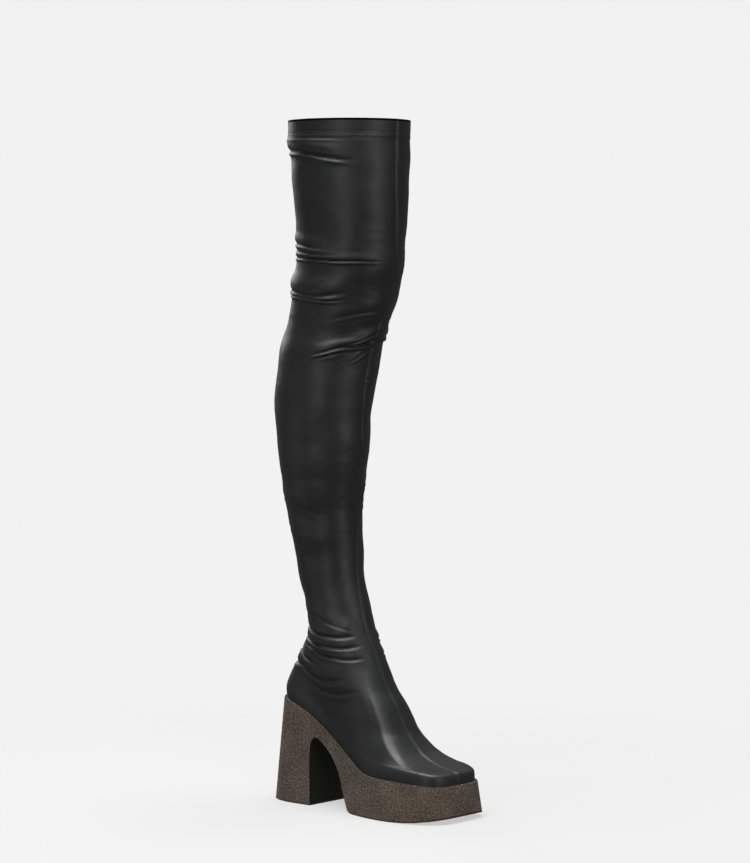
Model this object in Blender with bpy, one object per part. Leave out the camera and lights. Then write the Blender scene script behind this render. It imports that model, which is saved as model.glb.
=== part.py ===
# Thigh-high boot, right foot, in metres.
# +X points to the toe, +Y to the inner side of the foot and +Z up.
# The origin is on the floor under the middle of the heel.

import math
from collections import namedtuple

import bpy
import bmesh
from mathutils import Matrix, Vector

# Whole boot
BOOT_HEIGHT = 0.7635         # floor to collar
WALL = 0.0018                # leather with its lining
GAP = 0.0003                 # between pieces that meet

# Sole, measured at its top rim
RIM_LENGTH = 0.250           # rear of the heel to the toe
HEEL_BACK = 0.031            # origin to the rear of the rim
HEEL_HEIGHT = 0.1178         # rim at the rear
PLATFORM = 0.0440            # rim at the ball
BALL_LATERAL = 0.0520        # outer half width at the ball
BALL_MEDIAL = 0.0450         # inner half width at the ball
RIM_WIDTH = 0.0024           # rim around the bed
BED_DEPTH = 0.0085           # bed below the rim
SIDE_FLARE = 0.0046          # bottom edge outside the rim
HEEL_LEAN = 0.0070           # further lean of the heel's back
TOE_SPRING = 0.0062          # bottom edge of the toe above the floor
SPRING_START = 0.76          # share of the rim length where the toe begins to rise
LEAN_SHARE = 0.24            # share of the rim length over which the lean fades

# Arch between heel and platform
BREAST_X = 0.0265            # front face of the heel, where the arch springs
BREAST_FLARE = 0.0025        # further forward at the floor
ARCH_LENGTH = 0.0705         # breast to the platform, at the floor
CUTTER_MARGIN = 0.030        # how far the cutter runs past the sole

# Upper
ANKLE_HEIGHT = 0.205         # last ring of the foot
ANKLE_X = 0.0454             # middle of the ankle
CALF_SWAY = 0.0270           # how far the shaft bends back and forth from the ankle's middle
SIDE_SWAY = 0.0140           # how far the shaft bends to the outer side
SHAFT_DEPTH = 0.0683         # half depth of the thigh, front to back
SHAFT_WIDTH = 0.0662         # half width of the thigh, side to side
HEM_WIDTH = 0.0195           # folded band at the collar
HEM_RISE = 0.0007
HEM_SLOPE = 0.0014           # height of the step under the band
HEM_ROOM = 0.02              # least share of the shaft between the band and a ring
SEAM_HALF = 0.0016           # half the flat top of the front seam
SEAM_SLOPE = 0.0012          # width of the slope at each side of it
SEAM_RISE = 0.0008

# Insole
INSOLE_THICKNESS = 0.0030
INSOLE_ROOM = 0.0006         # to the upper around it

# Zip, on the inner side
ZIP_PLACE = 0.42             # share of the way from the back to the front seam
ZIP_TOP = 0.338              # height of the slot's upper end
ZIP_BOTTOM_RING = 8          # ring of the foot where the slot ends
ZIP_TAPE_HALF = 0.0030
ZIP_TAPE_THICKNESS = 0.0010
ZIP_TAPE_DEPTH = 0.0005      # tape's face below the leather
ZIP_COIL_HALF = 0.0015
ZIP_COIL_RISE = 0.0004       # coil above the leather
ZIP_STOP = 0.008             # slider's middle below the slot's end

# Slider and pull tab
SLIDER_LENGTH = 0.0090
SLIDER_HALF = 0.0036
SLIDER_END_HALF = 0.0026     # half width at its ends
SLIDER_SHOULDER = 0.0020     # its widest place above its middle
SLIDER_THICKNESS = 0.0015
BRIDGE_LENGTH = 0.0064
BRIDGE_HALF = 0.0008
BRIDGE_OPENING = 0.0020      # height under the bridge
BRIDGE_BAR = 0.0010
BRIDGE_SINK = 0.0004         # legs into the slider
PULL_OFFSET = 0.0012         # pivot below the slider's middle
PULL_THICKNESS = 0.0010
PULL_HALF = 0.0030
PULL_ARM = 0.0012
PULL_EYE = 0.0053            # pivot to the far end of the eye, past the bridge's upper corner
PULL_EYE_SIDE = 0.0038       # pivot to the start of the eye's slope
PULL_EYE_CORNER = 0.0049     # pivot to the start of its corner
PULL_EYE_END_HALF = 0.0011   # half the flat end of the eye
PULL_LENGTH = 0.0210
PULL_TAPER = 0.0007          # each side, at the foot of the tab

# Points around the boot
SIDE_STEPS = 22              # columns from the back to the front, on each side
HEEL_CAP = 0.20              # share of the columns around the heel
TOE_CAP = 0.78               # share of the columns before the toe's corners
HEEL_CAP_SHARE = 0.15        # share of the length that the heel's curve takes
TOE_CAP_SHARE = 0.90         # share of the length before the toe's corners
HEEL_POWER = 2.2             # squareness of the heel's outline
TOE_POWER = 4.0              # squareness of the toe's outline
SLOT_ROOM = 0.6              # least space between a column and the zip, in columns
SEAM_SEARCH = 0.9            # the seam's columns lie between here and the front
SEAM_HALVINGS = 30
PROBE = 0.01                 # share of the way round, to measure a slope

# Plan of the rim: share of the length, shares of the ball's half widths,
# and share of the drop from the heel to the platform
PlanRow = namedtuple("PlanRow", "share lateral medial drop")
PLAN = [
    PlanRow(0.00, 0.587, 0.678, 1.000),
    PlanRow(0.08, 0.592, 0.684, 0.955),
    PlanRow(0.16, 0.597, 0.689, 0.872),
    PlanRow(0.24, 0.600, 0.682, 0.745),
    PlanRow(0.32, 0.612, 0.668, 0.583),
    PlanRow(0.40, 0.665, 0.670, 0.400),
    PlanRow(0.48, 0.748, 0.715, 0.232),
    PlanRow(0.55, 0.845, 0.790, 0.090),
    PlanRow(0.62, 0.935, 0.880, 0.020),
    PlanRow(0.72, 1.000, 0.975, 0.000),
    PlanRow(0.82, 0.978, 1.000, -0.014),
    PlanRow(0.90, 0.895, 0.978, -0.032),
    PlanRow(0.95, 0.800, 0.930, -0.050),
    PlanRow(1.00, 0.690, 0.845, -0.064),
]

# Underside of the arch: share of its length, and share of the rim's height above it
ArchRow = namedtuple("ArchRow", "along height")
ARCH = [
    ArchRow(0.000, 0.530),
    ArchRow(0.006, 0.640),
    ArchRow(0.034, 0.735),
    ArchRow(0.095, 0.795),
    ArchRow(0.196, 0.812),
    ArchRow(0.379, 0.782),
    ArchRow(0.560, 0.705),
    ArchRow(0.700, 0.555),
    ArchRow(0.794, 0.350),
    ArchRow(0.880, 0.160),
    ArchRow(0.940, 0.055),
    ArchRow(1.010, 0.012),
    ArchRow(1.090, 0.000),
]

# Rings of the foot above the rim. back and front are shares of the rim length from its rear,
# back_rise is a share of the heel rim to the ankle and front_rise of the platform to the ankle.
# plan is a share of the bed's half widths, lateral and medial are shares of the ball's half
# widths, and roundness goes from the first form, 0, to an ellipse of the second, 1
FootRow = namedtuple("FootRow", "back back_rise front front_rise plan lateral medial roundness")
FOOT = [
    FootRow(0.0068, 0.065, 0.9885, 0.024, 0.997, 0.692, 0.773, 0.00),
    FootRow(0.0056, 0.117, 0.9800, 0.048, 0.990, 0.692, 0.790, 0.02),
    FootRow(0.0088, 0.169, 0.9500, 0.062, 0.978, 0.692, 0.840, 0.06),
    FootRow(0.0160, 0.220, 0.8940, 0.078, 0.962, 0.692, 0.870, 0.12),
    FootRow(0.0268, 0.278, 0.8380, 0.108, 0.944, 0.692, 0.885, 0.19),
    FootRow(0.0408, 0.341, 0.7890, 0.150, 0.930, 0.692, 0.890, 0.27),
    FootRow(0.0560, 0.404, 0.7450, 0.203, 0.920, 0.692, 0.885, 0.36),
    FootRow(0.0728, 0.473, 0.7080, 0.270, 0.912, 0.692, 0.865, 0.47),
    FootRow(0.0880, 0.541, 0.6760, 0.352, 0.902, 0.692, 0.840, 0.58),
    FootRow(0.1032, 0.610, 0.6380, 0.445, 0.892, 0.690, 0.812, 0.70),
    FootRow(0.1160, 0.679, 0.5930, 0.550, 0.884, 0.687, 0.795, 0.81),
    FootRow(0.1288, 0.753, 0.5460, 0.680, 0.880, 0.684, 0.784, 0.90),
    FootRow(0.1408, 0.828, 0.5070, 0.814, 0.880, 0.680, 0.778, 0.96),
    FootRow(0.1520, 0.920, 0.4730, 0.935, 0.880, 0.676, 0.774, 1.00),
]

# Rings of the shaft: share of the height from ankle to collar, shares of the two sways,
# shares of the thigh's half depth and half width, and the front seam's turn in degrees
ShaftRow = namedtuple("ShaftRow", "height sway side depth width turn")
SHAFT = [
    ShaftRow(0.010, -0.01, 0.00, 0.536, 0.530, -2.0),
    ShaftRow(0.043, -0.21, -0.07, 0.530, 0.524, 1.0),
    ShaftRow(0.073, -0.39, -0.14, 0.538, 0.532, 4.0),
    ShaftRow(0.121, -0.50, -0.29, 0.566, 0.558, 8.0),
    ShaftRow(0.166, -0.57, -0.43, 0.583, 0.578, 11.0),
    ShaftRow(0.214, -0.65, -0.57, 0.625, 0.618, 13.0),
    ShaftRow(0.262, -0.65, -0.71, 0.673, 0.664, 13.0),
    ShaftRow(0.310, -0.59, -0.86, 0.722, 0.712, 11.0),
    ShaftRow(0.365, -0.56, -0.96, 0.774, 0.764, 8.0),
    ShaftRow(0.419, -0.54, -1.00, 0.810, 0.800, 6.0),
    ShaftRow(0.476, -0.44, -0.93, 0.838, 0.828, 4.0),
    ShaftRow(0.540, -0.28, -0.68, 0.850, 0.840, 3.0),
    ShaftRow(0.576, -0.14, -0.54, 0.842, 0.832, 4.0),
    ShaftRow(0.610, 0.11, -0.43, 0.848, 0.838, 8.0),
    ShaftRow(0.647, 0.34, -0.36, 0.874, 0.864, 12.0),
    ShaftRow(0.683, 0.50, -0.36, 0.890, 0.880, 13.0),
    ShaftRow(0.713, 0.66, -0.36, 0.888, 0.878, 11.0),
    ShaftRow(0.758, 0.75, -0.43, 0.894, 0.884, 8.0),
    ShaftRow(0.802, 0.80, -0.50, 0.914, 0.904, 6.0),
    ShaftRow(0.854, 0.78, -0.57, 0.950, 0.942, 4.0),
    ShaftRow(0.896, 0.78, -0.62, 0.968, 0.962, 3.0),
    ShaftRow(0.930, 0.78, -0.66, 0.980, 0.976, 3.0),
    ShaftRow(0.965, 0.77, -0.70, 0.992, 0.990, 3.0),
    ShaftRow(1.000, 0.77, -0.71, 1.000, 1.000, 3.0),
]

Ring = namedtuple("Ring", "back_x back_z front_x front_z middle_y plan lateral medial roundness turn")


# Curves

def curve(rows, column, at):
    """Value of a column at a place in the first column, by a cubic through the rows."""
    places = [row[0] for row in rows]
    values = [getattr(row, column) for row in rows]
    last = len(rows) - 1
    at = min(max(at, places[0]), places[last])
    k = max(i for i in range(last) if places[i] <= at)
    width = places[k + 1] - places[k]

    def slope(i):
        low = max(i - 1, 0)
        high = min(i + 1, last)
        return (values[high] - values[low]) / (places[high] - places[low])

    t = (at - places[k]) / width
    a = (1 + 2 * t) * (1 - t) ** 2 * values[k]
    b = t * (1 - t) ** 2 * width * slope(k)
    c = t * t * (3 - 2 * t) * values[k + 1]
    d = t * t * (t - 1) * width * slope(k + 1)
    return a + b + c + d


def mix(a, b, share):
    return a + (b - a) * share


def soft_step(t):
    t = min(max(t, 0.0), 1.0)
    return t * t * (3 - 2 * t)


def plan_place(q):
    """Share of the length and of the local half width, q from 0 at the back to 1 at the toe."""
    if q < HEEL_CAP:
        turn = q / HEEL_CAP * math.pi / 2
        share = HEEL_CAP_SHARE * (1 - abs(math.cos(turn)) ** (2 / HEEL_POWER))
        return share, math.sin(turn) ** (2 / HEEL_POWER)
    if q <= TOE_CAP:
        return mix(HEEL_CAP_SHARE, TOE_CAP_SHARE, (q - HEEL_CAP) / (TOE_CAP - HEEL_CAP)), 1.0
    turn = (q - TOE_CAP) / (1 - TOE_CAP) * math.pi / 2
    share = mix(TOE_CAP_SHARE, 1.0, math.sin(turn) ** (2 / TOE_POWER))
    return share, max(math.cos(turn), 0.0) ** (2 / TOE_POWER)


def length_share(x):
    return (x + HEEL_BACK) / RIM_LENGTH


def rim_height(share):
    return PLATFORM + (HEEL_HEIGHT - PLATFORM) * curve(PLAN, "drop", share)


def rim_half(share, side):
    """Half width of the rim; side is -1 for the outer one."""
    if side < 0:
        return curve(PLAN, "lateral", share) * BALL_LATERAL
    return curve(PLAN, "medial", share) * BALL_MEDIAL


def plan_point(q, side, inset):
    """Place in plan on an outline that lies inside the rim by the inset."""
    share, cap = plan_place(q)
    x = -HEEL_BACK + inset + (RIM_LENGTH - 2 * inset) * share
    return x, side * (rim_half(length_share(x), side) - inset) * cap


def loop_stations():
    """The stations around a closed plan: back, outer side, toe, inner side."""
    steps = [k / SIDE_STEPS for k in range(SIDE_STEPS + 1)]
    outer = [(q, -1) for q in steps]
    inner = [(q, 1) for q in reversed(steps[1:-1])]
    return outer + inner


# Surface of the upper

def foot_rings():
    inset = RIM_WIDTH + GAP
    back_x = -HEEL_BACK + inset
    front_x = -HEEL_BACK + RIM_LENGTH - inset
    rings = []
    for sink in (BED_DEPTH - GAP, 0.0):
        toe_z = rim_height(1.0) - sink
        rings.append(Ring(back_x, HEEL_HEIGHT - sink, front_x, toe_z, 0.0, 1.0, 0.0, 0.0, 0.0, 0.0))
    for row in FOOT:
        rings.append(Ring(
            -HEEL_BACK + RIM_LENGTH * row.back,
            mix(HEEL_HEIGHT, ANKLE_HEIGHT, row.back_rise),
            -HEEL_BACK + RIM_LENGTH * row.front,
            mix(PLATFORM, ANKLE_HEIGHT, row.front_rise),
            0.0,
            row.plan,
            BALL_LATERAL * row.lateral,
            BALL_MEDIAL * row.medial,
            row.roundness,
            0.0,
        ))
    return rings


def shaft_ring(share):
    z = mix(ANKLE_HEIGHT, BOOT_HEIGHT, share)
    middle_x = ANKLE_X + CALF_SWAY * curve(SHAFT, "sway", share)
    depth = SHAFT_DEPTH * curve(SHAFT, "depth", share)
    width = SHAFT_WIDTH * curve(SHAFT, "width", share)
    return Ring(
        middle_x - depth, z, middle_x + depth, z,
        SIDE_SWAY * curve(SHAFT, "side", share),
        1.0, width, width, 1.0, curve(SHAFT, "turn", share),
    )


def ring_point(ring, q, side):
    """A point of the upper's outer face on one ring."""
    share, cap = plan_place(q)
    angle = side * math.pi * q - math.radians(ring.turn) * q * q
    along = (1 - math.cos(angle)) / 2
    round_half = ring.medial if math.sin(angle) > 0 else ring.lateral
    plan_x = mix(ring.back_x, ring.front_x, share)
    plan_half = (rim_half(length_share(plan_x), side) - RIM_WIDTH - GAP) * ring.plan
    back_lift = ring.back_z - rim_height(length_share(ring.back_x))
    front_lift = ring.front_z - rim_height(length_share(ring.front_x))
    plan_z = rim_height(length_share(plan_x)) + mix(back_lift, front_lift, share)
    round_z = mix(ring.back_z, ring.front_z, along)
    x = mix(plan_x, mix(ring.back_x, ring.front_x, along), ring.roundness)
    y = ring.middle_y + mix(side * plan_half * cap, round_half * math.sin(angle), ring.roundness)
    return Vector((x, y, mix(plan_z, round_z, ring.roundness)))


def all_rings():
    """The rings of the upper from the bed to the collar, with one at each end of the zip's slot and the hem."""
    shaft_height = BOOT_HEIGHT - ANKLE_HEIGHT
    hem = 1 - HEM_WIDTH / shaft_height
    hem_foot = hem - HEM_SLOPE / shaft_height
    shares = [row.height for row in SHAFT if row.height < hem_foot - HEM_ROOM or row.height == 1.0]
    zip_end = (ZIP_TOP - ANKLE_HEIGHT) / shaft_height
    nearest = min(shares, key=lambda share: abs(share - zip_end))
    shares[shares.index(nearest)] = zip_end
    shares = sorted(shares + [hem_foot, hem])
    rings = foot_rings()
    first = len(rings)
    rings += [shaft_ring(share) for share in shares]
    return rings, first + shares.index(zip_end), first + shares.index(hem)


def seam_stations(ring):
    """Stations beside the front seam, at its flat top and at the foot of its slope."""
    front = ring_point(ring, 1.0, 1)
    stations = {}
    for side in (-1, 1):
        for name, distance in (("top", SEAM_HALF), ("foot", SEAM_HALF + SEAM_SLOPE)):
            low, high = SEAM_SEARCH, 1.0
            for _ in range(SEAM_HALVINGS):
                middle = (low + high) / 2
                if (ring_point(ring, middle, side) - front).length > distance:
                    low = middle
                else:
                    high = middle
            stations[side, name] = (low + high) / 2
    return stations


def zip_half_step(ring, distance):
    """Share of the way round that a distance takes at the zip."""
    before = ring_point(ring, ZIP_PLACE - PROBE, 1)
    after = ring_point(ring, ZIP_PLACE + PROBE, 1)
    return distance * 2 * PROBE / (after - before).length


def upper_columns(ring):
    """Stations around the upper: back, outer side, front seam, inner side. Each has a raise."""
    seam = seam_stations(ring)
    slot = zip_half_step(ring, ZIP_TAPE_HALF + GAP)
    steps = [k / SIDE_STEPS for k in range(SIDE_STEPS)]
    columns = [(q, -1, 0.0) for q in steps]
    columns += [(seam[-1, "foot"], -1, 0.0), (seam[-1, "top"], -1, SEAM_RISE)]
    columns += [(1.0, 1, SEAM_RISE)]
    columns += [(seam[1, "top"], 1, SEAM_RISE), (seam[1, "foot"], 1, 0.0)]
    near = SLOT_ROOM / SIDE_STEPS
    inner = [q for q in steps[1:] if abs(q - ZIP_PLACE) > near]
    inner += [ZIP_PLACE - slot, ZIP_PLACE + slot]
    columns += [(q, 1, 0.0) for q in sorted(inner, reverse=True)]
    return columns


def zip_column_index(columns):
    """Index of the slot's front column; the next one is its back column."""
    after = [k for k, (q, side, _) in enumerate(columns) if side > 0 and q > ZIP_PLACE]
    return after[-1]


def grid_normals(grid):
    """Outward normals of a closed tube of rings."""
    normals = []
    for j, ring in enumerate(grid):
        below = grid[max(j - 1, 0)]
        above = grid[min(j + 1, len(grid) - 1)]
        count = len(ring)
        row = []
        for i in range(count):
            around = ring[(i + 1) % count] - ring[i - 1]
            along = above[i] - below[i]
            row.append(around.cross(along).normalized())
        normals.append(row)
    return normals


# Meshes

def new_object(name, mesh, colour, roughness, metallic=0.0, sharp=35):
    for polygon in mesh.polygons:
        polygon.use_smooth = True
    mesh.set_sharp_from_angle(angle=math.radians(sharp))
    material = bpy.data.materials.new(name)
    material.use_nodes = True
    shader = material.node_tree.nodes["Principled BSDF"]
    shader.inputs["Base Color"].default_value = (*colour, 1.0)
    shader.inputs["Roughness"].default_value = roughness
    shader.inputs["Metallic"].default_value = metallic
    mesh.materials.append(material)
    thing = bpy.data.objects.new(name, mesh)
    bpy.context.scene.collection.objects.link(thing)
    return thing


def mesh_from(name, points, faces):
    mesh = bpy.data.meshes.new(name)
    mesh.from_pydata([tuple(point) for point in points], [], faces)
    mesh.validate()
    mesh.update()
    return mesh


def prism(name, outline, near, far, place):
    """An outline of pairs, extruded between two depths; place turns (first, second, depth) into a point."""
    count = len(outline)
    points = [place(u, v, near) for u, v in outline] + [place(u, v, far) for u, v in outline]
    faces = [tuple(range(count)), tuple(range(2 * count - 1, count - 1, -1))]
    for k in range(count):
        n = (k + 1) % count
        faces.append((k, k + count, n + count, n))
    mesh = mesh_from(name, points, faces)
    turn_faces_out(mesh)
    return mesh


def turn_faces_out(mesh):
    shape = bmesh.new()
    shape.from_mesh(mesh)
    bmesh.ops.recalc_face_normals(shape, faces=shape.faces)
    shape.to_mesh(mesh)
    shape.free()


def use_boolean(thing, other, operation):
    modifier = thing.modifiers.new(operation.title(), "BOOLEAN")
    modifier.operation = operation
    modifier.solver = "EXACT"
    modifier.object = other
    other.hide_render = True
    other.display_type = "WIRE"


# Sole

def bottom_point(q, side):
    """A point on the sole's bottom edge."""
    share, _ = plan_place(q)
    x, y = plan_point(q, side, -SIDE_FLARE)
    x -= HEEL_LEAN * (1 - soft_step(share / LEAN_SHARE))
    rise = max(share - SPRING_START, 0.0) / (1 - SPRING_START)
    return Vector((x, y, TOE_SPRING * rise * rise))


def rim_point(q, side, inset, sink):
    x, y = plan_point(q, side, inset)
    return Vector((x, y, rim_height(length_share(x)) - sink))


def plate_strips(start, count):
    """Faces across a loop, from pair to pair of its two sides."""
    half = count // 2
    faces = [(start, start + 1, start + count - 1)]
    for k in range(1, half - 1):
        faces.append((start + k, start + k + 1, start + count - k - 1, start + count - k))
    faces.append((start + half - 1, start + half, start + half + 1))
    return faces


def loops_to_mesh(name, loops):
    """A closed body from loops, the first and last closed by strips."""
    count = len(loops[0])
    points = [point for loop in loops for point in loop]
    faces = list(plate_strips(0, count))
    for j in range(len(loops) - 1):
        for k in range(count):
            n = (k + 1) % count
            low = j * count
            faces.append((low + k, low + count + k, low + count + n, low + n))
    faces += plate_strips((len(loops) - 1) * count, count)
    mesh = mesh_from(name, points, faces)
    turn_faces_out(mesh)
    return mesh


def arch_profile():
    """The outline cut out of the sole, in X and Z."""
    spring_height = ARCH[0].height * rim_height(length_share(BREAST_X))
    flare = BREAST_FLARE * (1 + CUTTER_MARGIN / spring_height)
    points = [(BREAST_X + flare, -CUTTER_MARGIN)]
    per_row = 2
    for k in range((len(ARCH) - 1) * per_row + 1):
        row, part = divmod(k, per_row)
        along, height = arch_at(row, part / per_row)
        x = BREAST_X + ARCH_LENGTH * along
        points.append((x, height * rim_height(length_share(x))))
    points.append((points[-1][0], -CUTTER_MARGIN))
    return points


def arch_at(row, t):
    """A point on the smooth curve through the arch's rows."""
    if t == 0:
        return ARCH[row]
    last = len(ARCH) - 1
    rows = [ARCH[min(max(row + k, 0), last)] for k in (-1, 0, 1, 2)]
    result = []
    for a, b, c, d in zip(*rows):
        value = 2 * b + (c - a) * t + (2 * a - 5 * b + 4 * c - d) * t * t
        result.append((value + (3 * b - a - 3 * c + d) * t ** 3) / 2)
    return result


def make_sole():
    stations = loop_stations()
    loops = [
        [bottom_point(q, side) for q, side in stations],
        [rim_point(q, side, 0.0, 0.0) for q, side in stations],
        [rim_point(q, side, RIM_WIDTH, 0.0) for q, side in stations],
        [rim_point(q, side, RIM_WIDTH, BED_DEPTH) for q, side in stations],
    ]
    sole = new_object("sole", loops_to_mesh("sole", loops), (0.080, 0.058, 0.043), 0.85)
    reach = max(BALL_LATERAL, BALL_MEDIAL) + SIDE_FLARE + CUTTER_MARGIN
    cutter_mesh = prism("arch_cutter", arch_profile(), -reach, reach, lambda x, z, y: Vector((x, y, z)))
    cutter = bpy.data.objects.new("arch_cutter", cutter_mesh)
    bpy.context.scene.collection.objects.link(cutter)
    use_boolean(sole, cutter, "DIFFERENCE")
    return sole


# Insole

def make_insole():
    inset = RIM_WIDTH + GAP + WALL + INSOLE_ROOM
    stations = loop_stations()
    loops = [
        [rim_point(q, side, inset, BED_DEPTH - GAP) for q, side in stations],
        [rim_point(q, side, inset, BED_DEPTH - GAP - INSOLE_THICKNESS) for q, side in stations],
    ]
    return new_object("insole", loops_to_mesh("insole", loops), (0.055, 0.050, 0.045), 0.7)


# Upper

def make_upper():
    rings, slot_top, hem = all_rings()
    columns = [upper_columns(ring) for ring in rings]
    slot_column = zip_column_index(columns[0])
    base = [[ring_point(ring, q, side) for q, side, _ in row] for ring, row in zip(rings, columns)]
    normals = grid_normals(base)
    count = len(columns[0])
    outer = []
    inner = []
    for j, row in enumerate(columns):
        for i, (_, _, rise) in enumerate(row):
            band = HEM_RISE if j >= hem else 0.0
            raised = 0.0 if j < 2 else max(rise, band)
            outer.append(base[j][i] + normals[j][i] * raised)
            inner.append(base[j][i] - normals[j][i] * WALL)
    for k in range(count):
        inner[k].z = rim_height(length_share(inner[k].x)) - BED_DEPTH + GAP
    shift = len(outer)
    slot = {(j, slot_column) for j in range(ZIP_BOTTOM_RING, slot_top)}
    faces = []
    for j in range(len(rings) - 1):
        for i in range(count):
            if (j, i) in slot:
                continue
            n = (i + 1) % count
            a, b, c, d = j * count + i, j * count + n, (j + 1) * count + n, (j + 1) * count + i
            faces.append((a, b, c, d))
            faces.append((shift + a, shift + d, shift + c, shift + b))
    faces += wall_edges(slot, count, shift)
    top = (len(rings) - 1) * count
    for i in range(count):
        n = (i + 1) % count
        faces.append((i, shift + i, shift + n, n))
        faces.append((top + i, top + n, shift + top + n, shift + top + i))
    mesh = mesh_from("upper", outer + inner, faces)
    turn_faces_out(mesh)
    return new_object("upper", mesh, (0.018, 0.018, 0.019), 0.38, sharp=50)


def wall_edges(slot, count, shift):
    """Faces through the wall around a patch that is left out."""
    faces = []
    for j, i in sorted(slot):
        a = j * count + i
        b = j * count + i + 1
        c = b + count
        d = a + count
        if (j, i - 1) not in slot:
            faces.append((a, d, shift + d, shift + a))
        if (j, i + 1) not in slot:
            faces.append((b, shift + b, shift + c, c))
        if (j - 1, i) not in slot:
            faces.append((a, shift + a, shift + b, b))
        if (j + 1, i) not in slot:
            faces.append((d, c, shift + c, shift + d))
    return faces


# Zip

def zip_frames():
    """Frames along the zip, from its lower to its upper end: a point, and the ways across, up and out."""
    rings, slot_top, _ = all_rings()
    middles = [ring_point(ring, ZIP_PLACE, 1) for ring in rings[ZIP_BOTTOM_RING:slot_top + 1]]
    frames = []
    for k, (middle, ring) in enumerate(zip(middles, rings[ZIP_BOTTOM_RING:])):
        step = zip_half_step(ring, ZIP_TAPE_HALF)
        back = ring_point(ring, ZIP_PLACE - step, 1)
        front = ring_point(ring, ZIP_PLACE + step, 1)
        up = (middles[min(k + 1, len(middles) - 1)] - middles[max(k - 1, 0)]).normalized()
        across = (back - front).normalized()
        out = across.cross(up).normalized()
        if out.y < 0:
            out = -out
        frames.append(((back + front) / 2, across, up, out))
    return frames


def make_zip():
    face = -ZIP_TAPE_DEPTH
    back = face - ZIP_TAPE_THICKNESS
    section = [
        (-ZIP_TAPE_HALF, back), (ZIP_TAPE_HALF, back),
        (ZIP_TAPE_HALF, face), (ZIP_COIL_HALF, face),
        (ZIP_COIL_HALF, ZIP_COIL_RISE), (-ZIP_COIL_HALF, ZIP_COIL_RISE),
        (-ZIP_COIL_HALF, face), (-ZIP_TAPE_HALF, face),
    ]
    frames = zip_frames()
    points = []
    for k, (middle, across, up, out) in enumerate(frames):
        trim = GAP if k == 0 else -GAP if k == len(frames) - 1 else 0.0
        for u, v in section:
            points.append(middle + across * u + out * v + up * trim)
    count = len(section)
    faces = [tuple(range(count)), tuple(range(len(points) - 1, len(points) - count - 1, -1))]
    for j in range(len(frames) - 1):
        for k in range(count):
            n = (k + 1) % count
            low = j * count
            faces.append((low + k, low + count + k, low + count + n, low + n))
    mesh = mesh_from("zip", points, faces)
    turn_faces_out(mesh)
    return new_object("zip", mesh, (0.012, 0.012, 0.013), 0.5)


def slider_frame():
    """The slider's place on the zip, below its upper end."""
    frames = zip_frames()
    top, across, _, out = frames[-1]
    below = frames[-2][0]
    up = (top - below).normalized()
    middle = top - up * ZIP_STOP
    out = (out - up * out.dot(up)).normalized()
    across = across - up * across.dot(up) - out * across.dot(out)
    return middle, across.normalized(), up, out


def make_slider():
    middle, across, up, out = slider_frame()
    floor = ZIP_COIL_RISE + GAP
    top = floor + SLIDER_THICKNESS
    half_length = SLIDER_LENGTH / 2
    end = SLIDER_END_HALF
    outline = [
        (-end, -half_length), (end, -half_length), (SLIDER_HALF, SLIDER_SHOULDER),
        (end, half_length), (-end, half_length), (-SLIDER_HALF, SLIDER_SHOULDER),
    ]

    def flat(u, v, depth):
        return middle + across * u + up * v + out * depth

    def standing(v, depth, u):
        return middle + across * u + up * v + out * depth

    slider = new_object("zip_slider", prism("zip_slider", outline, floor, top, flat),
                        (0.30, 0.30, 0.31), 0.3, 1.0)
    foot = top - BRIDGE_SINK
    opening = top + BRIDGE_OPENING
    roof = opening + BRIDGE_BAR
    half_bridge = BRIDGE_LENGTH / 2
    leg = half_bridge - BRIDGE_BAR
    bridge = [
        (-half_bridge, foot), (-half_bridge, roof), (half_bridge, roof), (half_bridge, foot),
        (leg, foot), (leg, opening), (-leg, opening), (-leg, foot),
    ]
    bridge_mesh = prism("bridge", bridge, -BRIDGE_HALF, BRIDGE_HALF, standing)
    bridge_object = bpy.data.objects.new("bridge", bridge_mesh)
    bpy.context.scene.collection.objects.link(bridge_object)
    use_boolean(slider, bridge_object, "UNION")
    return slider


def pull_pivot():
    """The pull's axis: a point, and the level way across and the level way out."""
    middle, across, up, out = slider_frame()
    height = ZIP_COIL_RISE + GAP + SLIDER_THICKNESS + BRIDGE_OPENING / 2
    point = middle - up * PULL_OFFSET + out * height
    level_out = Vector((out.x, out.y, 0.0)).normalized()
    level_across = level_out.cross(Vector((0, 0, 1)))
    return point, level_across, level_out


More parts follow.
